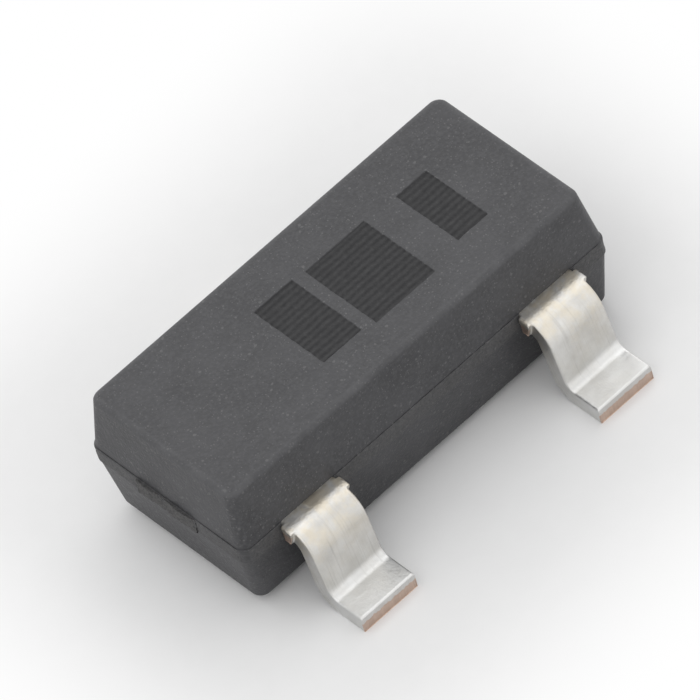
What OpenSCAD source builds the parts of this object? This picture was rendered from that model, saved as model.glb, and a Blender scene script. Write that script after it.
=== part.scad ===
// Bipolar transistor in the small three-lead surface-mount package with a 2.9 x 1.3 mm body.
// X runs along the body, +Y points to the single collector lead and +Z points up.
// The origin lies on the board, under the middle of the package. Sizes are in millimetres.

/* [Body] */
// Length of the moulded body, measured at its widest, between the parting lines
body_l = 2.9; // [2.8:0.01:3.04]
// Width of the moulded body there
body_w = 1.3; // [1.2:0.01:1.4]
// Height of the moulded body
body_h = 0.95; // [0.85:0.01:1.05]
// Clearance between the body and the board
standoff = 0.05; // [0.01:0.01:0.1]
// Slope of the upper walls from vertical, for release from the mould
draft_top = 7; // [3:1:12]
// Slope of the lower walls from vertical
draft_bottom = 7; // [3:1:12]
// Radius of the body's four upright corners
corner_r = 0.07; // [0.03:0.01:0.12]
// Radius of the edges round the top and the bottom face
edge_r = 0.035; // [0.02:0.005:0.06]
// How far the flash left at the parting lines stands out
flash_out = 0.012; // [0.005:0.001:0.03]

/* [Mould marks] */
// Width of the broken-off moulding gate on one end
gate_w = 0.5; // [0.3:0.05:0.7]
// How far the gate's stub stands out
gate_out = 0.03; // [0.02:0.005:0.05]
// Diameter of the ejector pin's mark in the underside
pin_mark_d = 0.6; // [0.4:0.05:0.8]
// Depth of that mark
pin_mark_deep = 0.02; // [0.01:0.005:0.04]

/* [Leads] */
// Thickness of the lead frame with its tin plating
lead_t = 0.12; // [0.09:0.01:0.15]
// Width of a lead outside the body
lead_w = 0.42; // [0.37:0.01:0.5]
// Distance between the base and emitter leads, centre to centre
lead_pitch = 1.9; // [1.8:0.01:2.0]
// Straight stretch between the body and the first bend
shoulder = 0.06; // [0.03:0.01:0.1]
// Inner radius of both bends
bend_r = 0.07; // [0.05:0.005:0.09]
// Angle of the leg below horizontal
leg_angle = 80; // [70:1:86]
// Length of the flat foot that is soldered down
foot = 0.19; // [0.12:0.01:0.3]
// How far the stub of the cut tie bar stands out from a lead's edge
tie_stub = 0.025; // [0.01:0.005:0.04]
// Length of that stub along the lead
tie_stub_l = 0.07; // [0.04:0.01:0.1]
// Gap between that stub and the body's flash
tie_gap = 0.015; // [0.005:0.005:0.03]

/* [Frame inside the body] */
// Length of the collector's die flag, along X
flag_l = 1.0; // [0.8:0.05:1.1]
// Width of the die flag, along Y
flag_w = 0.7; // [0.6:0.05:0.75]
// Gap between the die flag and each bond post
frame_gap = 0.15; // [0.1:0.01:0.2]
// Length of a bond post, along Y
post_w = 0.42; // [0.3:0.01:0.5]
// How far a bond post reaches past the outer edge of its lead
post_lip = 0.07; // [0.03:0.01:0.1]
// Least cover of moulding compound over the ends of the flag and the posts
frame_cover = 0.17; // [0.12:0.01:0.2]
// Radius of the notches that lock the frame into the compound
lock_r = 0.06; // [0.04:0.01:0.08]
// Radius of the frame's stamped corners
stamp_r = 0.04; // [0.02:0.01:0.06]
// Radius of the fillets where a lead joins its flag or post
neck_r = 0.025; // [0.01:0.005:0.03]

/* [Die and bonds] */
// Side of the square silicon die
die_s = 0.38; // [0.3:0.01:0.45]
// Thickness of the die
die_t = 0.15; // [0.1:0.01:0.2]
// Thickness of the bond between die and flag
attach_t = 0.02; // [0.01:0.005:0.03]
// How far that bond spreads past the die
attach_out = 0.03; // [0.01:0.01:0.05]
// Thickness of the metal on the die
metal_t = 0.004; // [0.002:0.001:0.006]
// Side of each square bond pad on the die
pad_s = 0.1; // [0.08:0.01:0.12]
// Bare rim of the die round its metal
die_rim = 0.03; // [0.02:0.01:0.04]
// Number of fingers on each pad's comb
fingers = 3; // [2:1:4]
// Width of one finger, and of the bar that joins them
finger_w = 0.02; // [0.015:0.001:0.024]
// Diameter of the bond wire
wire_d = 0.025; // [0.018:0.001:0.032]
// Diameter of the squashed ball on the pad
ball_d = 0.075; // [0.06:0.005:0.08]
// Height of that ball
ball_h = 0.03; // [0.02:0.005:0.04]
// Rise of the wire's loop above its ball
loop_rise = 0.09; // [0.06:0.01:0.11]
// Length of the flattened stitch that ends the wire on its post
stitch_l = 0.08; // [0.05:0.01:0.1]

/* [Hidden] */

// Steps of the curves, and sides of what is round
corner_steps = 6;
edge_steps = 4;
bend_steps = 10;
ball_steps = 6;
loop_steps = 16;
wire_sides = 12;
stamp_sides = 24;
pin_mark_sides = 48;

// Heights, counted from the board. The frame lies halfway up the body.
frame_z = standoff + (body_h - lead_t) / 2;
frame_top = frame_z + lead_t;
body_top = standoff + body_h;
attach_top = frame_top + attach_t;
die_top = attach_top + die_t;
pad_top = die_top + metal_t;

// Run of a lead, from the body's wall to its tip
bend_mid = bend_r + lead_t / 2;
leg_l = (frame_z - 2 * bend_mid * (1 - cos(leg_angle))) / sin(leg_angle);
bend_start = body_w / 2 + shoulder;
bend_run = 2 * bend_mid * sin(leg_angle) + leg_l * cos(leg_angle);
tip_y = bend_start + bend_run + foot;

// Places of the pieces inside the body
flag_y = body_w / 2 - frame_cover - flag_w / 2;
post_x0 = flag_l / 2 + frame_gap;
post_x1 = lead_pitch / 2 + lead_w / 2 + post_lip;
post_y = -body_w / 2 + frame_cover + post_w / 2;
pad_shift = die_s / 2 - die_rim - pad_s / 2;

// Form of a bond wire: the latitude at which the pad cuts the ball off, and the share of the
// span over which the loop stays high
ball_foot = -45;
loop_reach = 0.55;
// Places along the stitch: [share of its length, half its width, half its thickness], the last
// two as shares of the wire's diameter
stitch_form = [[0.35, 0.9, 0.25], [1, 0.7, 0.125]];
// Height of the stitch's middle above the post, as a share of half its thickness
stitch_seat = 2 / 3;

colour_compound = [0.13, 0.13, 0.14];
colour_tin = [0.78, 0.77, 0.74];
colour_solder = [0.6, 0.6, 0.6];
colour_silicon = [0.35, 0.36, 0.42];
colour_gold = [0.93, 0.75, 0.3];

// Ring of points round a rectangle with rounded corners, at one height
function rounded_ring(l, w, r, z) = [
    for (q = [0 : 3], i = [0 : corner_steps])
        let (
            a = 90 * (q + i / corner_steps),
            cx = (l / 2 - r) * (q == 0 || q == 3 ? 1 : -1),
            cy = (w / 2 - r) * (q < 2 ? 1 : -1)
        )
        [cx + r * cos(a), cy + r * sin(a), z]
];

// Skin over a stack of rings that have the same number of points
module loft(rings) {
    n = len(rings[0]);
    last = len(rings) - 1;
    sides = [
        for (i = [0 : last - 1], k = [0 : n - 1])
            let (next = (k + 1) % n)
            [i * n + k, (i + 1) * n + k, (i + 1) * n + next, i * n + next]
    ];
    floor_face = [for (k = [0 : n - 1]) k];
    roof_face = [for (k = [n - 1 : -1 : 0]) last * n + k];
    polyhedron([for (ring = rings) each ring], concat([floor_face, roof_face], sides));
}

// Body's wall from the parting line to a face: [height above the parting line, inset] pairs
function wall_steps(h, draft) =
    let (lean = tan(draft), at_edge = (h - edge_r) * lean)
    concat(
        [[0, 0]],
        [
            for (i = [0 : edge_steps])
                let (a = 90 * i / edge_steps)
                [h - edge_r + edge_r * sin(a), at_edge + edge_r * (1 - cos(a))]
        ]
    );

// Outer form of the body: two drafted halves with the flash band between them
module body_form() {
    lower = wall_steps(frame_z - standoff, draft_bottom);
    upper = wall_steps(body_top - frame_top, draft_top);
    sections = concat(
        [for (i = [len(lower) - 1 : -1 : 0]) [frame_z - lower[i][0], lower[i][1]]],
        [[frame_z, -flash_out], [frame_top, -flash_out]],
        [for (s = upper) [frame_top + s[0], s[1]]]
    );
    loft([
        for (s = sections)
            rounded_ring(body_l - 2 * s[1], body_w - 2 * s[1], corner_r, s[0])
    ]);
}

// Stub of the moulding gate, broken off at one end of the body
module gate_stub() {
    translate([-body_l / 2 - gate_out, -gate_w / 2, frame_z])
        cube([gate_out + corner_r, gate_w, lead_t]);
}

// Shallow round dent that the ejector pin leaves in the underside
module pin_mark() {
    translate([0, 0, standoff - pin_mark_deep])
        cylinder(d = pin_mark_d, h = 2 * pin_mark_deep, $fn = pin_mark_sides);
}

// Moulded round the frame, so its hollow is the exact form of everything in it
module moulded_body() {
    color(colour_compound)
        difference() {
            union() {
                body_form();
                gate_stub();
            }
            pin_mark();
            collector_lead();
            base_lead();
            emitter_lead();
            die_attach();
            silicon_die();
            base_bond_wire();
            emitter_bond_wire();
        }
}

// Middle line of a lead seen from the side: [distance out, height, slope] at each station
function lead_line(inner_y) =
    let (
        mid_z = frame_z + lead_t / 2,
        leg_y = bend_start + bend_mid * sin(leg_angle) + leg_l * cos(leg_angle),
        leg_z = mid_z - bend_mid * (1 - cos(leg_angle)) - leg_l * sin(leg_angle)
    )
    concat(
        [[inner_y, mid_z, 0]],
        [
            for (i = [0 : bend_steps])
                let (a = leg_angle * i / bend_steps)
                [bend_start + bend_mid * sin(a), mid_z - bend_mid * (1 - cos(a)), a]
        ],
        [
            for (i = [bend_steps : -1 : 0])
                let (a = leg_angle * i / bend_steps)
                [
                    leg_y + bend_mid * (sin(leg_angle) - sin(a)),
                    leg_z - bend_mid * (cos(a) - cos(leg_angle)),
                    a
                ]
        ],
        [[tip_y, lead_t / 2, 0]]
    );

// Gull-wing strip of the frame's thickness, bent to shape and wide enough for any plan
module bent_strip(inner_y) {
    line = lead_line(inner_y);
    last = len(line) - 1;
    over = [for (p = line) [p[0] + lead_t / 2 * sin(p[2]), p[1] + lead_t / 2 * cos(p[2])]];
    under = [
        for (i = [last : -1 : 0])
            let (p = line[i])
            [p[0] - lead_t / 2 * sin(p[2]), p[1] - lead_t / 2 * cos(p[2])]
    ];
    rotate([90, 0, 90])
        linear_extrude(height = 2 * body_l, center = true)
            polygon(concat(over, under));
}

// Stamped rectangle about its middle, with its corners rounded
module stamped(l, w) {
    square([l - 2 * stamp_r, w], center = true);
    square([l, w - 2 * stamp_r], center = true);
    for (x = [-1, 1], y = [-1, 1])
        translate([x * (l / 2 - stamp_r), y * (w / 2 - stamp_r)])
            circle(r = stamp_r, $fn = stamp_sides);
}

// Outer stretch of a lead in plan, with the stubs of the cut tie bar beside the body. It
// leaves the edge of its flag or post at neck_y, with a fillet in both corners.
module lead_plan(inner_y, neck_y) {
    translate([-lead_w / 2, inner_y])
        square([lead_w, tip_y - inner_y + lead_t]);
    translate([-lead_w / 2 - tie_stub, body_w / 2 + flash_out + tie_gap])
        square([lead_w + 2 * tie_stub, tie_stub_l]);
    for (side = [0, 1])
        mirror([side, 0])
            translate([lead_w / 2, neck_y])
                difference() {
                    square(2 * neck_r, center = true);
                    translate([neck_r, neck_r])
                        circle(r = neck_r, $fn = stamp_sides);
                }
}

// Plan of the collector's die flag, with a locking notch at each end
module flag_plan() {
    difference() {
        translate([0, flag_y])
            stamped(flag_l, flag_w);
        for (side = [-1, 1])
            translate([side * flag_l / 2, flag_y])
                circle(r = lock_r, $fn = stamp_sides);
    }
}

// Plan of the post for the lead at +X, on the -Y side
module post_plan() {
    difference() {
        translate([(post_x0 + post_x1) / 2, post_y])
            stamped(post_x1 - post_x0, post_w);
        translate([post_x1, post_y])
            circle(r = lock_r, $fn = stamp_sides);
    }
}

// Lead with its die flag, bent from one piece of the frame
module collector_lead() {
    inner_y = flag_y - flag_w / 2;
    color(colour_tin)
        intersection() {
            bent_strip(inner_y);
            linear_extrude(height = frame_top + lead_t) {
                flag_plan();
                lead_plan(flag_y, flag_y + flag_w / 2);
            }
        }
}

// Lead with its bond post at +X, bent from one piece of the frame
module post_lead() {
    inner_y = post_y + post_w / 2;
    color(colour_tin)
        intersection() {
            mirror([0, 1, 0])
                bent_strip(-inner_y);
            linear_extrude(height = frame_top + lead_t) {
                post_plan();
                translate([lead_pitch / 2, 0])
                    mirror([0, 1])
                        lead_plan(-post_y, post_w / 2 - post_y);
            }
        }
}

module emitter_lead() {
    post_lead();
}

module base_lead() {
    mirror([1, 0, 0])
        post_lead();
}

// Bond between the die and the flag, squeezed out a little round the die
module die_attach() {
    spread = die_s + 2 * attach_out;
    color(colour_solder)
        translate([0, flag_y, 0])
            loft([
                rounded_ring(spread, spread, attach_out, frame_top),
                rounded_ring(die_s, die_s, die_rim / 2, attach_top)
            ]);
}

// Comb of metal on the die, with its bond pad in one corner. Turned by 180 degrees, a
// second one fits between its fingers.
module metal_comb() {
    field = die_s - 2 * die_rim;
    step = (field - finger_w) / (2 * fingers - 1);
    translate([-field / 2, -field / 2]) {
        for (i = [0 : fingers - 1])
            translate([2 * i * step, 0])
                square([finger_w, field - pad_s - finger_w]);
        square([2 * (fingers - 1) * step + finger_w, finger_w]);
        square([pad_s, pad_s]);
    }
}

// Sawn square of silicon with the two combs on its top
module silicon_die() {
    color(colour_silicon)
        translate([0, flag_y, attach_top]) {
            translate([-die_s / 2, -die_s / 2, 0])
                cube([die_s, die_s, die_t]);
            for (turn = [0, 180])
                rotate([0, 0, turn])
                    translate([0, 0, die_t])
                        linear_extrude(height = metal_t)
                            metal_comb();
        }
}

// Point and slope of a cubic curve that starts at p[0] and ends at p[3], with two handles
function curve_point(p, t) =
    pow(1 - t, 3) * p[0] + 3 * pow(1 - t, 2) * t * p[1]
    + 3 * (1 - t) * pow(t, 2) * p[2] + pow(t, 3) * p[3];

function curve_slope(p, t) =
    let (
        way = pow(1 - t, 2) * (p[1] - p[0]) + 2 * (1 - t) * t * (p[2] - p[1])
            + pow(t, 2) * (p[3] - p[2])
    )
    atan2(way[1], way[0]);

// Stations along a wire of this span, seen from the side. Each holds the distance along, the
// height, the slope, half the width and half the thickness of the wire there.
function ball_stations() =
    let (neck = acos(wire_d / ball_d))
    [
        for (i = [0 : ball_steps])
            let (
                a = ball_foot + (neck - ball_foot) * i / ball_steps,
                r = ball_d / 2 * cos(a),
                rise = ball_h * (sin(a) - sin(ball_foot)) / (sin(neck) - sin(ball_foot))
            )
            [0, pad_top + rise, 90, r, r]
    ];

// Both handles stand as high as it takes to lift the middle of the curve by loop_rise
function loop_stations(span) =
    let (
        from_z = pad_top + ball_h,
        to_z = frame_top + wire_d / 2,
        handle_z = from_z + (8 * loop_rise + from_z - to_z) / 6,
        p = [[0, from_z], [0, handle_z], [loop_reach * span, handle_z], [span, to_z]]
    )
    [
        for (i = [1 : loop_steps])
            let (t = i / loop_steps, at = curve_point(p, t))
            [at[0], at[1], curve_slope(p, t), wire_d / 2, wire_d / 2]
    ];

function stitch_stations(span) = [
    for (at = stitch_form)
        let (half_w = at[1] * wire_d, half_t = at[2] * wire_d)
        [span + at[0] * stitch_l, frame_top + stitch_seat * half_t, 0, half_w, half_t]
];

// Wire from a point on the die to a point on a post, welded as a ball on the die and as a
// stitch on the post. No point of it lies lower than the post, which flattens the stitch.
module bond_wire(from, to) {
    span = norm(to - from);
    way = (to - from) / span;
    stations = concat(ball_stations(), loop_stations(span), stitch_stations(span));
    color(colour_gold)
        loft([
            for (s = stations) [
                for (k = [0 : wire_sides - 1])
                    let (
                        a = 360 * k / wire_sides,
                        along = s[0] - s[4] * sin(a) * sin(s[2]),
                        aside = s[3] * cos(a)
                    )
                    [
                        from[0] + way[0] * along - way[1] * aside,
                        from[1] + way[1] * along + way[0] * aside,
                        max(frame_top, s[1] + s[4] * sin(a) * cos(s[2]))
                    ]
            ]
        ]);
}

module base_bond_wire() {
    bond_wire([-pad_shift, flag_y - pad_shift], [-(post_x0 + post_x1) / 2, post_y]);
}

module emitter_bond_wire() {
    bond_wire([pad_shift, flag_y + pad_shift], [(post_x0 + post_x1) / 2, post_y]);
}

moulded_body();
collector_lead();
base_lead();
emitter_lead();
die_attach();
silicon_die();
base_bond_wire();
emitter_bond_wire();
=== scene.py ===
import math

import bmesh
import bpy
import numpy as np
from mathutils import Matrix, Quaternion, Vector, noise


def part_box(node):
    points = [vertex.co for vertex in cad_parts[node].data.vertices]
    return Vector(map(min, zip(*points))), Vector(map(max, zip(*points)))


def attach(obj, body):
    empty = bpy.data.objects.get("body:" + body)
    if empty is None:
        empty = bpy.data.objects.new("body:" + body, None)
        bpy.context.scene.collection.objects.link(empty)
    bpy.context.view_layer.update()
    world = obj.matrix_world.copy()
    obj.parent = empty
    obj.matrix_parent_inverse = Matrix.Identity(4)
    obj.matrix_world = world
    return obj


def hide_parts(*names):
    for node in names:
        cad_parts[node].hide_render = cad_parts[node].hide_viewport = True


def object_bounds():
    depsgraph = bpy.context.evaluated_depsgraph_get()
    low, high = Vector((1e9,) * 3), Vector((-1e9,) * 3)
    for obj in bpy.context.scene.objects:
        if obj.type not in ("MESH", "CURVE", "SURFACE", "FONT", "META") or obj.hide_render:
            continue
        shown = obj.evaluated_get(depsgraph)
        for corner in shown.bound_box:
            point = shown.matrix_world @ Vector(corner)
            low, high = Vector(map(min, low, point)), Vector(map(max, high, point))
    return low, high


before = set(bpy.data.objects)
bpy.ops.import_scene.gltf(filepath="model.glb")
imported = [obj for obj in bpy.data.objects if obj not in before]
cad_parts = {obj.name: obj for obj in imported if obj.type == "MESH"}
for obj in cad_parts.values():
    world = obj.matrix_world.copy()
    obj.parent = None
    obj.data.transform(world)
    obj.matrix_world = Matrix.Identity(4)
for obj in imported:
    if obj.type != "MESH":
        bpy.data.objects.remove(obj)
cad_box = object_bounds()

# Looks of a bipolar transistor in its small three-lead package. The moulded body and the outer
# stretch of each lead are made again with finer surfaces, in the places that the frame gives.
# The die, its bond and the wires stay the frame's own solids. Meshes are built in millimetres
# and turned into metres at the end.
MM = 0.001
body_lo, body_hi = (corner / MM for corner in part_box("moulded_body"))
lead_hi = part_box("collector_lead")[1] / MM

# Moulded body
BODY_L = 2.9
BODY_W = 1.3
DRAFT = math.radians(7)
CORNER_R = 0.07
EDGE_R = 0.035
FLASH_OUT = body_hi.x - BODY_L / 2
GATE_W = 0.5
GATE_OUT = -BODY_L / 2 - body_lo.x
PIN_MARK_R = 0.3
PIN_MARK_DEEP = 0.02

# Leads
LEAD_T = 0.12
LEAD_W = 0.42
LEAD_PITCH = 1.9
SHOULDER = 0.06
BEND_R = 0.07
LEG_ANGLE = math.radians(80)
STUB_OUT = 0.025
STUB_L = 0.07
STUB_GAP = 0.015
TIP_Y = lead_hi.y
FRAME_TOP = lead_hi.z
FRAME_Z = FRAME_TOP - LEAD_T
# Middle of each lead along X, and the side of the body that it leaves
LEADS = {
    "collector": (0.0, 1),
    "base": (-LEAD_PITCH / 2, -1),
    "emitter": (LEAD_PITCH / 2, -1),
}

# Laser marks on the top face: plain bars, each as (low x, high x, low y, high y)
MARK_DEEP = 0.006
MARKS = [(-0.38, -0.08, -0.31, 0.28), (0.01, 0.48, -0.34, 0.26), (0.72, 0.96, -0.28, 0.24)]
# Half length and half width of the part of the top that they lie in, with room to spare
MARKED_X = 1.2
MARKED_Y = 0.4


# Small mesh tools

# How far the seed moves the place in the noise, along each axis
SEED_STEPS = (17.3, 5.1, 11.7)


def smooth_step(x):
    x = np.clip(x, 0, 1)
    return x * x * (3 - 2 * x)


def rough(points, size, seed):
    """Smooth noise from -1 to 1 at each point, with features of about this size."""
    shift = Vector([seed * step for step in SEED_STEPS])
    return np.array([noise.noise(Vector(p) / size + shift) for p in points])


def layered(points, mean, layers):
    """A mean value with layers of noise added, each given as (how much, size, seed)."""
    total = mean
    for much, size, seed in layers:
        total = total + much * rough(points, size, seed)
    return total


def grid_rim(nx, ny):
    """Indexes of the outer points of a grid with nx by ny cells, in order round it."""
    return (
        [(i, 0) for i in range(nx)]
        + [(nx, j) for j in range(ny)]
        + [(i, ny) for i in range(nx, 0, -1)]
        + [(0, j) for j in range(ny, 0, -1)]
    )


def tube_faces(rings, n):
    """Faces between so many rings of n points each, one ring after another."""
    faces = []
    for ring in range(rings - 1):
        for k in range(n):
            a, b = ring * n + k, ring * n + (k + 1) % n
            faces.append((a, b, b + n, a + n))
    return faces


def make_piece(name, points, faces):
    """Mesh object from points in millimetres."""
    mesh = bpy.data.meshes.new(name)
    mesh.from_pydata([tuple(p) for p in points], [], faces)
    mesh.validate()
    piece = bpy.data.objects.new(name, mesh)
    bpy.context.scene.collection.objects.link(piece)
    return piece


def copy_of_node(node):
    """Copy of a CAD node's mesh as an object in millimetres."""
    bm = bmesh.new()
    bm.from_mesh(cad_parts[node].data)
    bmesh.ops.scale(bm, vec=(1 / MM,) * 3, verts=bm.verts)
    bmesh.ops.remove_doubles(bm, verts=bm.verts, dist=1e-6)
    mesh = bpy.data.meshes.new(f"{node}_copy")
    bm.to_mesh(mesh)
    bm.free()
    piece = bpy.data.objects.new(f"{node}_copy", mesh)
    bpy.context.scene.collection.objects.link(piece)
    return piece


def apply_modifiers(piece):
    graph = bpy.context.evaluated_depsgraph_get()
    mesh = bpy.data.meshes.new_from_object(piece.evaluated_get(graph))
    piece.modifiers.clear()
    piece.data = mesh


def combine(piece, other, operation):
    """Joins another closed mesh to the piece, cuts it out or keeps what they share."""
    modifier = piece.modifiers.new(operation, "BOOLEAN")
    modifier.operation = operation
    modifier.solver = "MANIFOLD"
    modifier.object = other
    bpy.context.view_layer.update()
    apply_modifiers(piece)


def remove(*pieces):
    for piece in pieces:
        bpy.data.objects.remove(piece)


def block(name, low, high):
    x, y, z = zip(low, high)
    points = [(x[i], y[j], z[k]) for i in (0, 1) for j in (0, 1) for k in (0, 1)]
    faces = [(0, 1, 3, 2), (4, 6, 7, 5), (0, 4, 5, 1), (2, 3, 7, 6), (0, 2, 6, 4), (1, 5, 7, 3)]
    return make_piece(name, points, faces)


def turn_faces_outwards(piece):
    bm = bmesh.new()
    bm.from_mesh(piece.data)
    bmesh.ops.recalc_face_normals(bm, faces=bm.faces)
    bm.to_mesh(piece.data)
    bm.free()


def mend_thin_faces(bm, thinnest=1e-6):
    """Joins each face that has next to no area to its neighbour, and divides the sum better."""
    longest = set()
    for face in bm.faces:
        edge = max(face.edges, key=lambda e: e.calc_length())
        if face.calc_area() < thinnest * edge.calc_length():
            longest.add(edge)
    bmesh.ops.dissolve_edges(bm, edges=list(longest))
    many_sided = [face for face in bm.faces if len(face.verts) > 4]
    bmesh.ops.triangulate(bm, faces=many_sided, ngon_method="BEAUTY")


def finish_mesh(piece, sharp_angle=35):
    """Turns the mesh into metres and shades it smooth, with its hard edges kept hard."""
    bm = bmesh.new()
    bm.from_mesh(piece.data)
    bmesh.ops.remove_doubles(bm, verts=bm.verts, dist=2e-5)
    bmesh.ops.dissolve_degenerate(bm, dist=1e-5, edges=bm.edges)
    mend_thin_faces(bm)
    bmesh.ops.recalc_face_normals(bm, faces=bm.faces)
    for face in bm.faces:
        face.smooth = True
    limit = math.radians(sharp_angle)
    for edge in bm.edges:
        edge.smooth = len(edge.link_faces) == 2 and edge.calc_face_angle(0) < limit
    bmesh.ops.scale(bm, vec=(MM,) * 3, verts=bm.verts)
    bm.to_mesh(piece.data)
    bm.free()
    normals = piece.modifiers.new("flat_faces_stay_flat", "WEIGHTED_NORMAL")
    normals.keep_sharp = True
    normals.weight = 80


def set_attribute(piece, name, values):
    layer = piece.data.attributes.new(name, "FLOAT", "POINT")
    layer.data.foreach_set("value", np.asarray(values, np.float32))


def set_vectors(piece, name, values):
    layer = piece.data.attributes.new(name, "FLOAT_VECTOR", "POINT")
    layer.data.foreach_set("vector", np.asarray(values, np.float32).ravel())


def mesh_points(piece):
    """Every vertex of a finished piece, in millimetres."""
    co = np.empty(len(piece.data.vertices) * 3)
    piece.data.vertices.foreach_get("co", co)
    return co.reshape(-1, 3) / MM


# Moulded body

# Distance between the mesh lines of the top, the walls and the underside
LINE_PITCH = 0.028
# Half the distance between the two lines beside an edge, and the room kept free round them
LINE_GAP = 0.003
LINE_ROOM = 2.5 * LINE_GAP
# Steps round half an upright corner, up a wall and round the edge of a face
CORNER_STEPS = 5
WALL_STEPS = 12
EDGE_STEPS = 6
# Points past a corner over which the flat face's lines straighten out
CORNER_FADE = 3
# Heights of the rings up the flash, as shares of its thickness
FLASH_STEPS = [0.003, 0.01, 0.03, 0.06, 0.1, 0.18, 0.28, 0.39, 0.5]
FLASH_STEPS += [1 - share for share in reversed(FLASH_STEPS[:-1])]
# Share of its full width that the torn flash has: mean, noise as (how much, size, seed), least
FLASH_MEAN = 0.68
FLASH_NOISE = [(0.3, 0.13, 1), (0.28, 0.04, 2)]
FLASH_LEAST = 0.3
# The same for how far the gate's broken face stands out
BREAK_MEAN = 0.62
BREAK_NOISE = [(0.4, 0.15, 3), (0.1, 0.03, 4), (0.17, 0.014, 5)]
BREAK_LEAST = 0.1
# Shares of the gate's width and height that its edges lost, and the size of the crumbs
CRUMBLED_Y = 0.03
CRUMBLED_Z = 0.12
CRUMB = 0.06
# Cells of the gate's broken face, across and up
GATE_CELLS = (90, 22)
# How far the burnt marks' edges waver, the size of the waves, and their seeds for X and Y
WAVER = 0.0045
WAVE = 0.03
WAVE_SEEDS = (7.0, 47.0)
# Half the length of the part of the top that wavers, and the width over which it fades out
WAVER_X = 1.15
WAVER_FADE = 0.1
# The flash ends this far inside a lead's two edges
ROOT_IN = 0.006


def grid_lines(half, extra):
    """Places of the lines along the straight part of one side, with a pair at each extra place."""
    straight = half - CORNER_R
    lines = list(np.linspace(-straight, straight, int(2 * straight / LINE_PITCH) + 1))
    for place in extra:
        lines = [x for x in lines if abs(x - place) > LINE_ROOM]
        lines += [place - LINE_GAP, place + LINE_GAP]
    return np.array(sorted(lines))


def lead_roots():
    """Where a lead's two edges leave the wall, for each lead: (low x, high x, side of the body)."""
    half = LEAD_W / 2 - ROOT_IN
    return [(x - half, x + half, side) for x, side in LEADS.values()]


class GridAxis:
    """Mesh lines across one side of the body, with CORNER_STEPS more round each corner."""

    def __init__(self, half, top_inset, extra):
        self.half = half
        self.top_half = half - top_inset
        self.lines = grid_lines(self.top_half, extra)
        self.n = len(self.lines) - 1 + 2 * CORNER_STEPS

    def place(self, k, inset):
        """Place of line k where the wall is this far in. The lines round a corner share one."""
        scale = (self.half - inset - CORNER_R) / (self.top_half - CORNER_R)
        return self.lines[np.clip(k, CORNER_STEPS, self.n - CORNER_STEPS) - CORNER_STEPS] * scale

    def face_places(self, inset):
        """Places of all the lines on a flat face, where those of the corners are spread out."""
        places = np.array([self.place(k, inset) for k in range(self.n + 1)])
        for k in range(CORNER_STEPS):
            from_middle = self.half - inset - CORNER_R * k / CORNER_STEPS
            places[k], places[self.n - k] = -from_middle, from_middle
        return places

    def from_end(self, k):
        return min(k, self.n - k)

    def side(self, k):
        return 1 if k > self.n / 2 else -1


class BodyGrid:
    """Box of mesh lines: a grid of cells on the top, and rings of the same lines round it."""

    def __init__(self):
        half_l, half_w = BODY_L / 2, BODY_W / 2
        top_inset = (body_hi.z - FRAME_TOP - EDGE_R) * math.tan(DRAFT) + EDGE_R
        stretch = (half_l - CORNER_R) / (half_l - top_inset - CORNER_R)
        at_marks = [x for mark in MARKS for x in mark[:2]]
        at_roots = [x / stretch for root in lead_roots() for x in root[:2]]
        self.x_axis = GridAxis(half_l, top_inset, at_marks + at_roots)
        self.y_axis = GridAxis(half_w, top_inset, [y for mark in MARKS for y in mark[2:]])
        self.rim = grid_rim(self.x_axis.n, self.y_axis.n)

    def rim_point(self, i, j, inset, out=0.0):
        """Point of a ring. The inset moves the whole wall in, and out then moves the point out."""
        x_axis, y_axis = self.x_axis, self.y_axis
        half_x, half_y = x_axis.half - inset, y_axis.half - inset
        from_x, from_y = x_axis.from_end(i), y_axis.from_end(j)
        side_x, side_y = x_axis.side(i), y_axis.side(j)
        x, y = x_axis.place(i, inset), y_axis.place(j, inset)
        m = CORNER_STEPS
        if from_x <= m and from_y <= m:
            turn = math.pi / 4 * (1 + from_x / m) if from_y == 0 else math.pi / 4 * (1 - from_y / m)
            x = side_x * (half_x - CORNER_R + (CORNER_R + out) * math.cos(turn))
            y = side_y * (half_y - CORNER_R + (CORNER_R + out) * math.sin(turn))
        elif from_y == 0:
            y = side_y * (half_y + out)
        else:
            x = side_x * (half_x + out)
        return np.array([x, y])

    def ring(self, inset, out=0.0):
        """Ring of points at this inset. How far each stands out may differ from point to point."""
        outs = np.broadcast_to(out, (len(self.rim),))
        return np.array([self.rim_point(i, j, inset, d) for (i, j), d in zip(self.rim, outs)])

    def round_corner(self, table, inset, i0, j0, step_i, step_j):
        """Moves the edges of a face's square corner onto the ring, and the points inside along."""
        m = CORNER_STEPS
        reach = m + CORNER_FADE
        edge_x = [(i0 + step_i * k, j0) for k in range(m + 1)]
        edge_y = [(i0, j0 + step_j * k) for k in range(m + 1)]
        shift_x = [self.rim_point(*at, inset) - table[at] for at in edge_x]
        shift_y = [self.rim_point(*at, inset) - table[at] for at in edge_y]
        for a in range(reach):
            for b in range(reach):
                share_a, share_b = 1 - a / reach, 1 - b / reach
                move = -share_a * share_b * shift_x[0]
                if a <= m:
                    move = move + share_b * shift_x[a]
                if b <= m:
                    move = move + share_a * shift_y[b]
                table[i0 + step_i * a, j0 + step_j * b] += move

    def face(self, inset):
        """All the points of the flat top or bottom face, as a table with a row for each x line."""
        lines = self.x_axis.face_places(inset), self.y_axis.face_places(inset)
        table = np.stack(np.meshgrid(*lines, indexing="ij"), axis=-1)
        for i0, step_i in ((0, 1), (self.x_axis.n, -1)):
            for j0, step_j in ((0, 1), (self.y_axis.n, -1)):
                self.round_corner(table, inset, i0, j0, step_i, step_j)
        return table


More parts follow.
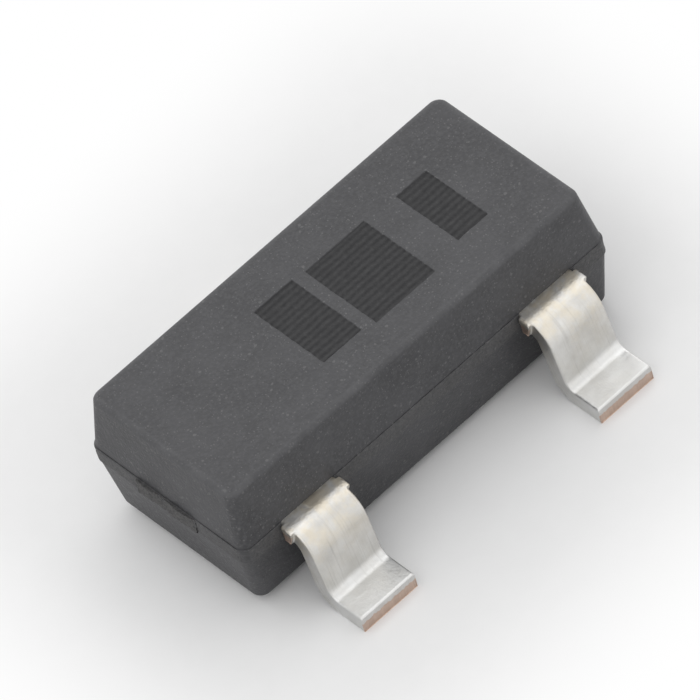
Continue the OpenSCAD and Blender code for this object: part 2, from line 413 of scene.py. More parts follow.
def in_marks(x, y):
    """1 inside the laser marks and 0 outside."""
    inside = np.zeros(np.shape(x))
    for x0, x1, y0, y1 in MARKS:
        inside = np.maximum(inside, (x > x0) & (x < x1) & (y > y0) & (y < y1))
    return inside


def wall_levels(height):
    """Pairs of (height above the parting line, inset) from the parting line to the face."""
    lean = math.tan(DRAFT)
    straight = [(h, h * lean) for h in np.linspace(0, height - EDGE_R, WALL_STEPS)]
    at_edge = (height - EDGE_R) * lean
    turns = [math.pi / 2 * k / EDGE_STEPS for k in range(1, EDGE_STEPS + 1)]
    edge = [
        (height - EDGE_R + EDGE_R * math.sin(a), at_edge + EDGE_R * (1 - math.cos(a))) for a in turns
    ]
    return straight + edge


def flash_width(ring, z):
    """How far the flash stands out at each point of a ring. It tore off unevenly."""
    x, y = ring.T
    from_edge = min(z - FRAME_Z, FRAME_TOP - z) / FLASH_OUT
    bulge = math.sqrt(1 - max(0, 1 - from_edge) ** 2)
    places = np.column_stack([ring, np.full(len(ring), z)])
    uneven = layered(places, FLASH_MEAN, FLASH_NOISE)
    width = FLASH_OUT * bulge * np.clip(uneven, FLASH_LEAST, 1)
    for low, high, side in lead_roots():
        width[(x > low) & (x < high) & (y * side > BODY_W / 2 - CORNER_R)] = 0
    return width


def body_levels(grid):
    """Rings from the underside to the top face: (height, inset, how far the flash stands out)."""
    lower = wall_levels(FRAME_Z - body_lo.z)
    upper = wall_levels(body_hi.z - FRAME_TOP)
    wall = grid.ring(0)
    levels = [(FRAME_Z - h, inset, 0) for h, inset in reversed(lower)]
    for share in FLASH_STEPS:
        z = FRAME_Z + share * LEAD_T
        levels.append((z, 0, flash_width(wall, z)))
    return levels + [(FRAME_TOP + h, inset, 0) for h, inset in upper]


def waver(x, y):
    """Moves a point of the top face a little, so that the burnt marks' edges aren't straight."""
    inside_x = smooth_step((WAVER_X - abs(x)) / WAVER_FADE)
    inside_y = smooth_step((MARKED_Y - abs(y)) / WAVER_FADE)
    shift = [WAVER * noise.noise(Vector((x / WAVE, y / WAVE, seed))) for seed in WAVE_SEEDS]
    return x + inside_x * inside_y * shift[0], y + inside_x * inside_y * shift[1]


def underside_point(x, y):
    return x, y, body_lo.z


def top_point(x, y):
    return *waver(x, y), body_hi.z - MARK_DEEP * in_marks(x, y)


def close_ring(points, ring_start, nx, ny, face_point):
    """Fills a ring, whose points begin at ring_start, with a grid of cells that face upwards.

    face_point gives the point at each place of the grid. Returns the cells' faces.
    """
    index = {at: ring_start + k for k, at in enumerate(grid_rim(nx, ny))}
    for i in range(nx + 1):
        for j in range(ny + 1):
            if (i, j) not in index:
                index[i, j] = len(points)
                points.append(face_point(i, j))
    return [
        (index[i, j], index[i + 1, j], index[i + 1, j + 1], index[i, j + 1])
        for i in range(nx)
        for j in range(ny)
    ]


def body_shell():
    grid = BodyGrid()
    nx, ny = grid.x_axis.n, grid.y_axis.n
    levels = body_levels(grid)
    points = []
    for z, inset, out in levels:
        points += [(x, y, z) for x, y in grid.ring(inset, out)]
    last_ring = len(points) - len(grid.rim)
    under, over = (grid.face(levels[k][1]) for k in (0, -1))
    underside = close_ring(points, 0, nx, ny, lambda i, j: underside_point(*under[i, j]))
    top = close_ring(points, last_ring, nx, ny, lambda i, j: top_point(*over[i, j]))
    faces = tube_faces(len(levels), len(grid.rim)) + [face[::-1] for face in underside] + top
    return make_piece("body_moulding", points, faces)


def gate_stub():
    """Stub of the moulding gate, with the rough face and edges that it broke with."""
    ny, nz = GATE_CELLS
    inner_x = -BODY_L / 2 + CORNER_R
    middle = (FRAME_Z + FRAME_TOP) / 2
    grid = [
        (0, y, z)
        for y in np.linspace(-GATE_W / 2, GATE_W / 2, ny + 1)
        for z in np.linspace(FRAME_Z, FRAME_TOP, nz + 1)
    ]
    depth = GATE_OUT * np.clip(layered(grid, BREAK_MEAN, BREAK_NOISE), BREAK_LEAST, 1)
    shrink = 0.5 + 0.5 * rough(grid, CRUMB, 6)
    outline = [
        (y * (1 - CRUMBLED_Y * s), middle + (z - middle) * (1 - CRUMBLED_Z * s))
        for (_, y, z), s in zip(grid, shrink)
    ]
    points = [(-BODY_L / 2 - d, y, z) for (y, z), d in zip(outline, depth)]
    points += [(inner_x, y, z) for y, z in outline]
    back = len(grid)
    faces = []
    for i in range(ny):
        for j in range(nz):
            a = i * (nz + 1) + j
            cell = (a, a + 1, a + nz + 2, a + nz + 1)
            faces.append(cell)
            faces.append(tuple(back + k for k in reversed(cell)))
    rim = [i * (nz + 1) + j for i, j in grid_rim(ny, nz)]
    for a, b in zip(rim, rim[1:] + rim[:1]):
        faces.append((a, b, back + b, back + a))
    return make_piece("gate_stub", points, faces)


def pin_mark_cutter():
    """Shallow dish with a rounded rim, as the ejector pin leaves it in the underside."""
    turns = 96
    r, deep = PIN_MARK_R, PIN_MARK_DEEP
    # From the middle of the dish out to its rim and down past the underside: (radius, height)
    profile = [(0, deep), (0.05, deep), (r - 0.008, deep), (r - 0.002, deep - 0.003), (r, 0.003)]
    profile += [(r + 0.004, -0.001), (r + 0.004, -0.02)]
    points = [(0, 0, body_lo.z + deep)]
    for radius, h in profile[1:]:
        points += [
            (radius * math.cos(a), radius * math.sin(a), body_lo.z + h)
            for a in np.linspace(0, 2 * math.pi, turns, endpoint=False)
        ]
    faces = [(0, 1 + k, 1 + (k + 1) % turns) for k in range(turns)]
    rings = len(profile) - 1
    for a, b, c, d in tube_faces(rings, turns):
        faces.append((1 + a, 1 + d, 1 + c, 1 + b))
    last = 1 + (rings - 1) * turns
    faces.append(tuple(last + k for k in reversed(range(turns))))
    return make_piece("pin_mark_cutter", points, faces)


# Leads

BEND_MID = BEND_R + LEAD_T / 2
BEND_START = BODY_W / 2 + SHOULDER
LEG_L = (FRAME_Z - 2 * BEND_MID * (1 - math.cos(LEG_ANGLE))) / math.sin(LEG_ANGLE)
# The finished strip starts inside the body. There it is a hair thinner than the CAD's own
# lead, out to a little past where that one is cut off, so that the two are joined without
# shared faces.
INSIDE_Y = BODY_W / 2 - 0.08
CUT_Y = BODY_W / 2 - 0.04
FULL_Y = CUT_Y + 0.015
HAIR = 0.001
# Stations along the shoulder, each bend, the leg and the foot
SHOULDER_STATIONS = 15
BEND_STATIONS = 28
LEG_STATIONS = 14
FOOT_STATIONS = 12
TIP_STEPS = 6
# Cells of a strip's section, and how many of them go round half a corner
ACROSS = 36
UP = 14
CORNER_CELLS = 3
# Radius of the edges that the punch drew in, and of those that it left crisp
OVER_R = 0.014
UNDER_R = 0.005

# Run of a strip from its start inside the wall
WALL_RUN = BODY_W / 2 - INSIDE_Y
STUB_START = WALL_RUN + FLASH_OUT + STUB_GAP
STUB_END = STUB_START + STUB_L
# Radius where the edge of a lead turns out into its stub, and of the stub's own corners
FILLET = 0.009
STUB_CORNER = 0.004
# Sheared faces. The smooth part ends at about this height in the strip, and waves by so much.
SPLIT = 0.012
SPLIT_WAVE = 0.008
SPLIT_FADE = 0.006
# The part below it tore away this deep, with a grain, and the smooth part has a faint grain
TORN_DEEP = 0.0035
TORN_GRAIN = 0.0018
SMOOTH_GRAIN = 0.0005
# Vertices within this distance of a sheared face belong to it
AT_SHEARED = 0.009


def lead_path():
    """Stations down the middle of a lead: (distance out, height, slope, length along it)."""
    mid_z = FRAME_Z + LEAD_T / 2
    stations = [(y, mid_z, 0.0) for y in np.linspace(INSIDE_Y, BEND_START, SHOULDER_STATIONS)]
    for a in np.linspace(0, LEG_ANGLE, BEND_STATIONS)[1:]:
        stations.append((BEND_START + BEND_MID * math.sin(a), mid_z - BEND_MID * (1 - math.cos(a)), a))
    y0, z0, _ = stations[-1]
    for t in np.linspace(0, LEG_L, LEG_STATIONS)[1:]:
        stations.append((y0 + t * math.cos(LEG_ANGLE), z0 - t * math.sin(LEG_ANGLE), LEG_ANGLE))
    y0, z0, _ = stations[-1]
    for a in np.linspace(LEG_ANGLE, 0, BEND_STATIONS)[1:]:
        y = y0 + BEND_MID * (math.sin(LEG_ANGLE) - math.sin(a))
        z = z0 - BEND_MID * (math.cos(a) - math.cos(LEG_ANGLE))
        stations.append((y, z, a))
    foot_start = stations[-1][0]
    stations += [(y, LEAD_T / 2, 0.0) for y in np.linspace(foot_start, TIP_Y, FOOT_STATIONS)[1:]]
    path, run = [], 0.0
    for k, (y, z, a) in enumerate(stations):
        if k:
            run += math.hypot(y - stations[k - 1][0], z - stations[k - 1][1])
        path.append((y, z, a, run))
    return path


def side_curve(length, start_r, end_r, cells):
    """One side of a rounded rectangle, from the middle of one corner to the middle of the next.

    Each point is (place along the side, distance in from it).
    """
    turns = [math.pi / 4 * k / CORNER_CELLS for k in range(CORNER_CELLS + 1)]
    points = [(start_r * (1 - math.sin(a)), start_r * (1 - math.cos(a))) for a in reversed(turns[1:])]
    points += [(t, 0) for t in np.linspace(start_r, length - end_r, cells - 2 * CORNER_CELLS + 1)]
    points += [(length - end_r * (1 - math.sin(a)), end_r * (1 - math.cos(a))) for a in turns[1:]]
    return np.array(points)


def section_grid(width, cut_back, thinner):
    """Grid of (across, up) points that fills a strip's section. The punch rounded its upper edges.

    The section's top is lower by cut_back, and every side of it lies thinner in.
    """
    width -= 2 * thinner
    low, high, half = thinner - LEAD_T / 2, LEAD_T / 2 - thinner - cut_back, width / 2
    under = side_curve(width, UNDER_R, UNDER_R, ACROSS)
    over = side_curve(width, OVER_R, OVER_R, ACROSS)
    flank = side_curve(high - low, UNDER_R, OVER_R, UP)
    bottom = np.column_stack([under[:, 0] - half, low + under[:, 1]])[:, None]
    top = np.column_stack([over[:, 0] - half, high - over[:, 1]])[:, None]
    left = np.column_stack([flank[:, 1] - half, low + flank[:, 0]])[None]
    right = np.column_stack([half - flank[:, 1], low + flank[:, 0]])[None]
    u = np.linspace(0, 1, ACROSS + 1)[:, None, None]
    v = np.linspace(0, 1, UP + 1)[None, :, None]
    ends = (1 - u) * (1 - v) * bottom[0] + u * (1 - v) * bottom[-1]
    ends = ends + (1 - u) * v * top[0] + u * v * top[-1]
    return (1 - v) * bottom + v * top + (1 - u) * left + u * right - ends


def stub_profile():
    """How far the cut tie bar's stub stands out along the run: (run, out) pairs."""
    r = STUB_CORNER
    side = [(-FILLET, 0), (-0.5 * FILLET, 0.14 * FILLET), (-0.15 * FILLET, 0.48 * FILLET), (0, FILLET)]
    side += [(0.0004, STUB_OUT - r), (0.3 * r, STUB_OUT - 0.3 * r), (r, STUB_OUT)]
    flat = [(run, STUB_OUT) for run in np.linspace(STUB_START + r, STUB_END - r, 9)[1:-1]]
    return (
        [(STUB_START + run, out) for run, out in side]
        + flat
        + [(STUB_END - run, out) for run, out in reversed(side)]
    )


def shear_depth(along, up, seed):
    """How far the torn lower part of a sheared face lies behind its smooth upper part."""
    place = Vector((along / 0.03, up / 0.03, 3.0 + seed))
    split = SPLIT + SPLIT_WAVE * noise.noise(place)
    torn = smooth_step((split - up) / SPLIT_FADE)
    grain = noise.noise(Vector((along / 0.009, up / 0.009, 5.0 + seed)))
    return torn * (TORN_DEEP + TORN_GRAIN * grain) + SMOOTH_GRAIN * (1 + grain)


def dense_path():
    """Stations of the lead's path with the extra ones that the stub and the tip need."""
    path = np.array(lead_path())
    tip = path[-1, 3]
    turns = [math.pi / 2 * k / TIP_STEPS for k in range(TIP_STEPS)]
    extra = [run for run, _ in stub_profile()] + [tip - OVER_R * (1 - math.sin(a)) for a in turns]
    kept = [run for run in path[:, 3] if min(abs(run - e) for e in extra) > 0.001]
    runs = np.array(sorted(kept + extra))
    return np.column_stack([np.interp(runs, path[:, 3], path[:, k]) for k in range(3)] + [runs])


def strip_point(lead, station, across, up, back=0.0):
    """Point of a lead's section at one station of its path, moved back along a level strip."""
    centre_x, side = lead
    out, height, slope, _ = station
    return (
        centre_x + side * across,
        side * (out - back + up * math.sin(slope)),
        height + up * math.cos(slope),
    )


def formed_strip(name, lead):
    """The stretch of a lead outside the body, from inside the wall to its sheared tip."""
    centre_x, _ = lead
    path = dense_path()
    stub_runs, stub_outs = zip(*stub_profile())
    rim = grid_rim(ACROSS, UP)
    points = []
    for station in path:
        out, _, _, run = station
        stub = np.interp(run, stub_runs, stub_outs)
        near_tip = max(0, 1 - (path[-1, 3] - run) / OVER_R)
        cut_back = OVER_R * (1 - math.sqrt(1 - near_tip**2))
        grid = section_grid(LEAD_W + 2 * stub, cut_back, HAIR if out < FULL_Y else 0)
        for i, j in rim:
            across, up = grid[i, j]
            if stub > STUB_OUT / 2 and i in (0, ACROSS):
                across -= math.copysign(shear_depth(run, up, centre_x + i), across)
            points.append(strip_point(lead, station, across, up))

    def tip_point(i, j):
        across, up = grid[i, j]
        return strip_point(lead, path[-1], across, up, shear_depth(across, up, centre_x))

    faces = tube_faces(len(path), len(rim))
    faces.append(tuple(reversed(range(len(rim)))))
    faces += close_ring(points, len(points) - len(rim), ACROSS, UP, tip_point)
    strip = make_piece(name, points, faces)
    turn_faces_outwards(strip)
    return strip


def formed_lead(name, node, lead):
    """Whole lead: the CAD's own flag or post inside the body, and the finished strip outside."""
    _, side = lead
    piece = copy_of_node(node)
    piece.name = name
    low, high = sorted((side * CUT_Y, -side * 2))
    inside = block("inside", (-2, low, 0), (2, high, 1))
    combine(piece, inside, "INTERSECT")
    strip = formed_strip("strip", lead)
    combine(piece, strip, "UNION")
    remove(inside, strip)
    return piece


def lead_attributes(piece, lead):
    """Gives each vertex its X, its run along the strip and its height in it, and marks the
    sheared faces and the bends."""
    centre_x, side = lead
    points = mesh_points(piece)
    path = dense_path()
    stations, slopes, runs = path[:, :2], path[:, 2], path[:, 3]
    flat = np.column_stack([points[:, 1] * side, points[:, 2]])
    nearest = np.argmin(((flat[:, None, :] - stations[None]) ** 2).sum(2), axis=1)
    off = flat - stations[nearest]
    slope = slopes[nearest]
    run = runs[nearest] + off[:, 0] * np.cos(slope) - off[:, 1] * np.sin(slope)
    up = off[:, 0] * np.sin(slope) + off[:, 1] * np.cos(slope)
    across = (points[:, 0] - centre_x) * side
    set_vectors(piece, "lead_place", np.column_stack([points[:, 0], run, up]))
    at_tip = runs[-1] - run < AT_SHEARED
    at_stub = np.abs(across) > LEAD_W / 2 + STUB_OUT - AT_SHEARED
    outside = flat[:, 0] > BODY_W / 2
    sheared = (at_tip | at_stub) & outside & (up < LEAD_T / 2 - OVER_R / 2)
    set_attribute(piece, "sheared", sheared)
    set_attribute(piece, "bend", np.sin(np.clip(slope, 0, None)) * outside)


# Materials

class Nodes:
    """Builds one material. Each call adds a node and gives back one of its outputs."""

    def __init__(self, name):
        self.material = bpy.data.materials.new(name)
        self.material.use_nodes = True
        self.tree = self.material.node_tree
        self.tree.nodes.clear()

    def add(self, kind, inputs=None, output=0, **settings):
        node = self.tree.nodes.new(f"ShaderNode{kind}")
        for key, value in settings.items():
            setattr(node, key, value)
        for key, value in (inputs or {}).items():
            if isinstance(value, bpy.types.NodeSocket):
                self.tree.links.new(value, node.inputs[key])
            else:
                node.inputs[key].default_value = value
        return node.outputs[output] if node.outputs else None

    def maths(self, operation, a, b=0.0, clamp=False):
        return self.add("Math", {0: a, 1: b}, operation=operation, use_clamp=clamp)

    def spread(self, value, low, high, to_low=0.0, to_high=1.0):
        """Smooth change from one value to another while the input goes from low to high."""
        inputs = {0: value, 1: low, 2: high, 3: to_low, 4: to_high}
        return self.add("MapRange", inputs, interpolation_type="SMOOTHSTEP")

    def blend(self, factor, a, b):
        return self.add("Mix", {0: factor, 6: a, 7: b}, output=2, data_type="RGBA")

    def place(self):
        """Place in the row frame, in millimetres."""
        metres = self.add("TexCoord", output=3)
        return self.add("VectorMath", {0: metres, 3: 1 / MM}, operation="SCALE")

    def stretched(self, place, x, y, z):
        """Place with scaled axes: a texture of scale 1 then has x, y and z features a millimetre."""
        return self.add("VectorMath", {0: place, 1: (x, y, z)}, operation="MULTIPLY")

    def grain(self, place, scale, detail=2.0, seed=0.0):
        moved = self.add("VectorMath", {0: place, 1: (seed, seed * 0.7, seed * 1.3)}, operation="ADD")
        inputs = {"Vector": moved, "Scale": scale, "Detail": detail, "Roughness": 0.6}
        return self.add("TexNoise", inputs)

    def specks(self, place, scale, share):
        """Separate round specks: this share of the cells holds one, each of its own size."""
        cells = {"Vector": place, "Scale": scale}
        distance = self.add("TexVoronoi", cells)
        chance = self.add("SeparateColor", {0: self.add("TexVoronoi", cells, output=1)})
        held = self.maths("LESS_THAN", chance, share)
        size = self.spread(chance, 0.0, share, 0.34, 0.12)
        inside = self.maths("SUBTRACT", size, distance)
        return self.maths("MULTIPLY", self.spread(inside, 0.0, 0.1), held)

    def attribute(self, name, output=2):
        return self.add("Attribute", output=output, attribute_name=name)

    def bump(self, height, depth, normal=None):
        """Bump of this depth in millimetres."""
        inputs = {"Strength": 1.0, "Distance": depth * MM, "Height": height}
        if normal:
            inputs["Normal"] = normal
        return self.add("Bump", inputs)

    def surface(self, **inputs):
        named = {key.replace("_", " "): value for key, value in inputs.items()}
        self.add("OutputMaterial", {"Surface": self.add("BsdfPrincipled", named)})
        return self.material


def colour(r, g, b):
    return (r, g, b, 1.0)


def grey(value):
    return colour(value, value, value)


def silica_grains(n, place):
    """Grains of silica that show through the resin, most of them very small."""
    swirl = n.add("TexNoise", {"Vector": place, "Scale": 60.0}, output=1)
    bent = n.add("VectorMath", {0: swirl, 1: (0.014,) * 3, 2: place}, operation="MULTIPLY_ADD")
    small = n.maths("MULTIPLY", n.specks(bent, 62.0, share=0.6), 0.2)
    large = n.maths("MULTIPLY", n.specks(bent, 30.0, share=0.2), 0.17)
    return n.maths("MAXIMUM", small, large)


def compound_material():
    """Black epoxy full of fine silica. The mould's eroded walls gave it a fine even grain."""
    n = Nodes("moulding_compound")
    place = n.place()
    mark, torn, worn = (n.attribute(name) for name in ("mark", "torn", "worn"))
    cloud = n.grain(place, 2.2, detail=4.0, seed=3.1)
    coarse = n.grain(place, 21.0, detail=3.0, seed=7.3)
    fine = n.grain(place, 46.0, detail=3.0, seed=1.7)
    tone = n.blend(n.spread(cloud, 0.3, 0.7), colour(0.027, 0.027, 0.03), colour(0.045, 0.045, 0.049))
    # The fine grain's hollows are painted darker and its raised grain lighter. This is painted shade,
    # so that the grain shows under the broad lamps.
    tone = n.blend(n.maths("MULTIPLY", n.spread(fine, 0.4, 0.7), 0.5), tone, colour(0.09, 0.09, 0.094))
    tone = n.blend(silica_grains(n, place), tone, colour(0.32, 0.32, 0.315))
    tone = n.blend(n.maths("MULTIPLY", worn, 0.4), tone, colour(0.12, 0.12, 0.125))
    # Where it tore, the resin shows paler and rougher, most of all at the broken gate
    crumbs = n.spread(n.grain(place, 60.0, detail=4.0, seed=4.4), 0.35, 0.7)
    broken = n.blend(crumbs, colour(0.065, 0.064, 0.063), colour(0.145, 0.142, 0.139))
    tone = n.blend(n.maths("MULTIPLY", torn, 0.7), tone, broken)
    # The laser burnt the marks line by line, a little deeper at each line's middle
    wave = {"Vector": place, "Scale": 7.0, "Distortion": 1.1, "Detail": 3.0}
    lines = n.add("TexWave", wave, bands_direction="Y")
    burnt = n.blend(lines, colour(0.009, 0.009, 0.01), colour(0.026, 0.026, 0.027))
    tone = n.blend(n.maths("MULTIPLY", mark, 0.85), tone, burnt)
    skin = n.spread(fine, 0.3, 0.7, 0.42, 0.6)
    dull = n.maths("MAXIMUM", mark, torn)
    roughness = n.maths("ADD", skin, n.maths("MULTIPLY", dull, 0.28), clamp=True)
    normal = n.bump(coarse, 0.005)
    normal = n.bump(fine, 0.0034, normal)
    normal = n.bump(n.maths("MULTIPLY", lines, mark), 0.004, normal)
    break_grain = n.grain(place, 70.0, detail=4.0, seed=5.5)
    normal = n.bump(n.maths("MULTIPLY", break_grain, torn), 0.014, normal)
    return n.surface(Base_Color=tone, Roughness=roughness, Normal=normal, IOR=1.5)


def plating_tone(n, place, run):
    """Tin tone with a painted warm reflection near the body and a painted cool reflection at the foot.
    Beside the body a dark band is partly a resin stain and partly painted contact shade.
    """
    cloud = n.grain(place, 5.0, detail=4.0, seed=2.3)
    patches = n.spread(n.grain(place, 8.0, detail=3.0, seed=4.4), 0.38, 0.62)
    tone = n.blend(n.spread(cloud, 0.3, 0.7), colour(0.57, 0.557, 0.53), colour(0.69, 0.683, 0.665))
    # Painted warm reflection on the tin near the body, fading along the lead
    warm_reflection = n.maths("MULTIPLY", n.spread(run, WALL_RUN, WALL_RUN + 0.4, 0.5, 0.06), patches)
    tone = n.blend(warm_reflection, tone, colour(0.68, 0.58, 0.4))
    # Painted cool reflection on the tin towards the foot
    cool_reflection = n.spread(run, WALL_RUN + 0.35, WALL_RUN + 0.65, 0.0, 0.35)
    tone = n.blend(cool_reflection, tone, colour(0.64, 0.66, 0.68))
    # Dark band at the lead's root. It is partly a resin stain and partly painted contact shade where
    # the lead meets the body.
    stain_and_contact_shade = n.maths("MULTIPLY", n.spread(run, WALL_RUN, WALL_RUN + 0.035, 0.6, 0.0), patches)
    return n.blend(stain_and_contact_shade, tone, colour(0.24, 0.21, 0.17))


def tin_material():
    """Matte tin over copper: fine crystals, lines drawn by the forming tool and sheared faces."""
    n = Nodes("tinned_lead_frame")
    place = n.place()
    strip = n.attribute("lead_place", output=1)
    run = n.add("SeparateXYZ", {0: strip}, output=1)
    up = n.add("SeparateXYZ", {0: strip}, output=2)
    sheared, bend = n.attribute("sheared"), n.attribute("bend")
    crystals = n.grain(place, 85.0, detail=3.0, seed=6.1)
    hammered = n.grain(place, 26.0, detail=2.0, seed=1.4)
    tone = plating_tone(n, place, run)
    drawn = n.grain(n.stretched(strip, 70.0, 2.5, 70.0), 1.0, detail=3.0)
    scratch = n.spread(drawn, 0.52, 0.74)
    scored = n.maths("MULTIPLY", n.maths("MULTIPLY", scratch, bend), 0.3)
    tone = n.blend(scored, tone, colour(0.4, 0.39, 0.37))
    # The punch smeared tin over the upper part of a sheared face and tore the copper below it
    ragged = n.grain(n.stretched(strip, 40.0, 40.0, 12.0), 1.0, detail=3.0, seed=7.7)
    edge = n.maths("SUBTRACT", up, n.maths("MULTIPLY", ragged, 0.05))
    copper_here = n.maths("MULTIPLY", n.spread(edge, -0.018, -0.008, 1.0, 0.0), sheared)
    grooves = n.grain(n.stretched(strip, 60.0, 60.0, 7.0), 1.0, detail=3.0)
    copper = n.blend(grooves, colour(0.42, 0.27, 0.2), colour(0.7, 0.52, 0.41))
    tone = n.blend(n.maths("MULTIPLY", copper_here, 0.75), tone, copper)
    roughness = n.spread(crystals, 0.25, 0.75, 0.32, 0.46)
    roughness = n.maths("ADD", roughness, n.maths("MULTIPLY", scratch, 0.1), clamp=True)
    normal = n.bump(hammered, 0.0014)
    normal = n.bump(crystals, 0.0008, normal)
    normal = n.bump(n.maths("MULTIPLY", drawn, n.maths("ADD", bend, 0.3)), 0.002, normal)
    normal = n.bump(n.maths("MULTIPLY", grooves, sheared), 0.004, normal)
    return n.surface(Base_Color=tone, Metallic=1.0, Roughness=roughness, Normal=normal)


def die_bond_material():
    """Silver-filled adhesive: dull, with flakes."""
    n = Nodes("die_bond")
    flakes = n.add("TexVoronoi", {"Vector": n.place(), "Scale": 60.0})
    tone = n.blend(flakes, colour(0.62, 0.61, 0.6), colour(0.42, 0.42, 0.41))
    return n.surface(Base_Color=tone, Metallic=0.8, Roughness=0.55, Normal=n.bump(flakes, 0.002))


def silicon_material():
    """Sawn sides and a dark polished face with bright metal combs on it."""
    n = Nodes("silicon")
    place = n.place()
    height = n.add("SeparateXYZ", {0: place}, output=2)
    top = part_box("silicon_die")[1].z / MM
    metal = n.maths("GREATER_THAN", height, top - 0.0035)
    lines = n.grain(n.stretched(place, 12.0, 12.0, 160.0), 1.0)
    stone = n.blend(lines, colour(0.13, 0.135, 0.16), colour(0.26, 0.27, 0.31))
    tone = n.blend(metal, stone, colour(0.86, 0.86, 0.87))
    roughness = n.spread(lines, 0.3, 0.7, 0.15, 0.4)
    return n.surface(Base_Color=tone, Metallic=0.9, Roughness=roughness, Normal=n.bump(lines, 0.001))


def gold_material():
    """Drawn gold wire with faint lines along it."""
    n = Nodes("gold_wire")
    fine = n.grain(n.place(), 90.0, detail=2.0, seed=8.8)
    tone = n.blend(fine, colour(0.86, 0.6, 0.2), colour(0.98, 0.78, 0.36))
    roughness = n.spread(fine, 0.3, 0.7, 0.14, 0.28)
    return n.surface(Base_Color=tone, Metallic=1.0, Roughness=roughness, Normal=n.bump(fine, 0.0004))


def seen_directly(tree):
    """1 for the rays that show a background: from the camera, a gloss or through glass."""
    path = tree.nodes.new("ShaderNodeLightPath")
    total = path.outputs["Is Camera Ray"]
    for name in ("Is Glossy Ray", "Is Transmission Ray"):
        either = tree.nodes.new("ShaderNodeMath")
        either.operation = "MAXIMUM"
        tree.links.new(total, either.inputs[0])
        tree.links.new(path.outputs[name], either.inputs[1])
        total = either.outputs[0]
    return total


# Distances from the part at which the floor starts to turn white and is all white
FLOOR_WHITENS = 0.3
FLOOR_WHITE = 1.6


def floor_material():
    """Pale floor that keeps the shadow and turns to plain white a little way from the part."""
    n = Nodes("pale_floor")
    place = n.place()
    beside = n.add("VectorMath", {0: place}, operation="ABSOLUTE")
    past = n.add("VectorMath", {0: beside, 1: (BODY_L / 2, TIP_Y, 0)}, operation="SUBTRACT")
    past = n.add("VectorMath", {0: past, 1: (0, 0, 0)}, operation="MAXIMUM")
    distance = n.add("VectorMath", {0: past}, output=1, operation="LENGTH")
    far = n.spread(distance, FLOOR_WHITENS, FLOOR_WHITE)
    tone = n.blend(n.grain(place, 6.0, detail=4.0, seed=1.2), grey(0.87), grey(0.9))
    diffuse = n.add("BsdfDiffuse", {"Color": tone})
    white = n.add("Emission", {"Color": grey(1), "Strength": 1.0})
    factor = n.maths("MULTIPLY", far, seen_directly(n.tree))
    n.add("OutputMaterial", {"Surface": n.add("MixShader", {0: factor, 1: diffuse, 2: white})})
    return n.material


# The object

def dress(piece, node, material):
    """Gives a finished piece its material and puts it in the place of its CAD node."""
    piece.data.materials.clear()
    piece.data.materials.append(material)
    for polygon in piece.data.polygons:
        polygon.material_index = 0
    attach(piece, "root")
    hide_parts(node)


def body_attributes(body):
    """Says where the top is burnt, where the flash and the gate tore, and which edges are worn."""
    points = mesh_points(body)
    x, y, z = points.T
    depth = body_hi.z - z
    on_top = (abs(x) < MARKED_X) & (abs(y) < MARKED_Y) & (depth < 2 * MARK_DEEP)
    set_attribute(body, "mark", on_top & (depth > MARK_DEEP / 2))
    # What stands out past the walls tore, and only the gate stands out past the flash
    beyond = np.maximum(abs(x) - BODY_L / 2, abs(y) - BODY_W / 2)
    at_gate = smooth_step((beyond - FLASH_OUT) / 0.002)
    set_attribute(body, "torn", smooth_step(beyond / 0.004) * (0.45 + 0.55 * at_gate))
    # The edges round the top are worn in patches, most of all a little below the top
    wall_lean = (body_hi.z - FRAME_TOP) * math.tan(DRAFT)
    inset = np.minimum(BODY_L / 2 - abs(x), BODY_W / 2 - abs(y)) - wall_lean
    at_edge = np.exp(-(((depth - 0.012) / 0.014) ** 2)) * (inset < EDGE_R)
    chance = 0.5 + 0.5 * rough(points, 0.12, 6)
    set_attribute(body, "worn", np.clip(1.5 * at_edge * chance, 0, 1))


def build_body(leads):
    """Moulded body with the exact hollow of everything that it was moulded round."""
    body = body_shell()
    stub, dish = gate_stub(), pin_mark_cutter()
    combine(body, stub, "UNION")
    combine(body, dish, "DIFFERENCE")
    remove(stub, dish)
    for lead in leads:
        combine(body, lead, "DIFFERENCE")
    for node in ("die_attach", "silicon_die", "base_bond_wire", "emitter_bond_wire"):
        inner = copy_of_node(node)
        combine(body, inner, "DIFFERENCE")
        remove(inner)
    finish_mesh(body)
    body_attributes(body)
    dress(body, "moulded_body", compound_material())


def build_leads():
    return {
        name: formed_lead(f"formed_{name}_lead", f"{name}_lead", lead) for name, lead in LEADS.items()
    }


def finish_leads(pieces):
    tin = tin_material()
    for name, piece in pieces.items():
        finish_mesh(piece)
        lead_attributes(piece, LEADS[name])
        dress(piece, f"{name}_lead", tin)


def dress_inner_nodes():
    """The pieces inside the body keep their CAD solids and get materials of their own."""
    gold = gold_material()
    materials = {
        "die_attach": die_bond_material(),
        "silicon_die": silicon_material(),
        "base_bond_wire": gold,
        "emitter_bond_wire": gold,
    }
    for node, material in materials.items():
        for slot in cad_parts[node].material_slots:
            slot.material = material


# Stage, lamps and camera, in metres

FLOOR_HALF = 0.3
# Direction from the part to the camera, and the camera's roll, in degrees
VIEW_AZIMUTH = -30.5
VIEW_ELEVATION = 49.7
VIEW_ROLL = -16.9
# Width of what the camera sees at the part
VIEW_WIDTH = 4.0 * MM
# A long lens, because the photograph has next to no perspective
LENS = 800
SENSOR = 36
# Strength of the even light from all round
WORLD_LEVEL = 0.62


def direction(azimuth, elevation):
    """Unit vector towards this azimuth, counted from -Y towards +X, and elevation."""
    a, e = math.radians(azimuth), math.radians(elevation)
    return Vector((math.sin(a) * math.cos(e), -math.cos(a) * math.cos(e), math.sin(e)))


def aim(item, away, distance):
    """Moves a lamp or the camera this far out from where it is, and turns it to look back there."""
    item.location += away * distance
    item.rotation_mode = "QUATERNION"
    item.rotation_quaternion = (-away).to_track_quat("-Z", "Y")
    bpy.context.scene.collection.objects.link(item)


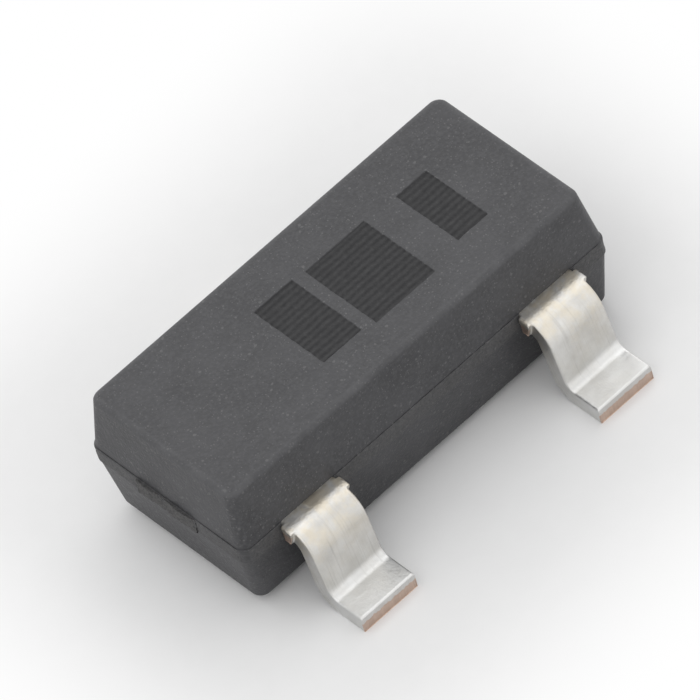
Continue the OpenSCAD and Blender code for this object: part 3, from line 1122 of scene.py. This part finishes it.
def build_floor():
    half = FLOOR_HALF
    corners = [(x * half, y * half, 0) for x, y in ((-1, -1), (1, -1), (1, 1), (-1, 1))]
    mesh = bpy.data.meshes.new("floor")
    mesh.from_pydata(corners, [], [(0, 1, 2, 3)])
    mesh.materials.append(floor_material())
    floor = bpy.data.objects.new("floor", mesh)
    bpy.context.scene.collection.objects.link(floor)


def lamp(name, azimuth, elevation, distance, size, level):
    """Square soft lamp aimed at the part. Level 1 lights a white face turned to it as white."""
    data = bpy.data.lights.new(name, "AREA")
    data.size = size
    data.energy = level * math.pi**2 * distance**2
    aim(bpy.data.objects.new(name, data), direction(azimuth, elevation), distance)


def white_world(level):
    """World that lights at this level and shows as white."""
    world = bpy.data.worlds.new("soft_white")
    bpy.context.scene.world = world
    world.use_nodes = True
    tree = world.node_tree
    tree.nodes.clear()
    pick = tree.nodes.new("ShaderNodeMixShader")
    tree.links.new(seen_directly(tree), pick.inputs[0])
    for k, strength in ((1, level), (2, 1.0)):
        sky = tree.nodes.new("ShaderNodeBackground")
        sky.inputs["Color"].default_value = grey(1)
        sky.inputs["Strength"].default_value = strength
        tree.links.new(sky.outputs[0], pick.inputs[k])
    out = tree.nodes.new("ShaderNodeOutputWorld")
    tree.links.new(pick.outputs[0], out.inputs["Surface"])


def build_camera():
    """Looks down on the body from its two-lead side, with the photograph's slight roll."""
    data = bpy.data.cameras.new("camera")
    data.lens = LENS
    data.sensor_width = SENSOR
    data.clip_start = 0.001
    data.clip_end = 10
    camera = bpy.data.objects.new("camera", data)
    camera.location = (cad_box[0] + cad_box[1]) / 2
    aim(camera, direction(VIEW_AZIMUTH, VIEW_ELEVATION), VIEW_WIDTH * LENS / SENSOR)
    roll = Quaternion((0, 0, 1), math.radians(VIEW_ROLL))
    camera.rotation_quaternion = camera.rotation_quaternion @ roll
    bpy.context.scene.camera = camera


leads = build_leads()
build_body(leads.values())
finish_leads(leads)
dress_inner_nodes()

build_floor()
lamp("key", azimuth=150, elevation=56, distance=0.1, size=0.19, level=0.72)
lamp("fill", azimuth=-75, elevation=40, distance=0.1, size=0.1, level=0.17)
lamp("front", azimuth=20, elevation=30, distance=0.12, size=0.1, level=0.07)
white_world(WORLD_LEVEL)
build_camera()
bpy.context.scene.view_settings.view_transform = "Standard"
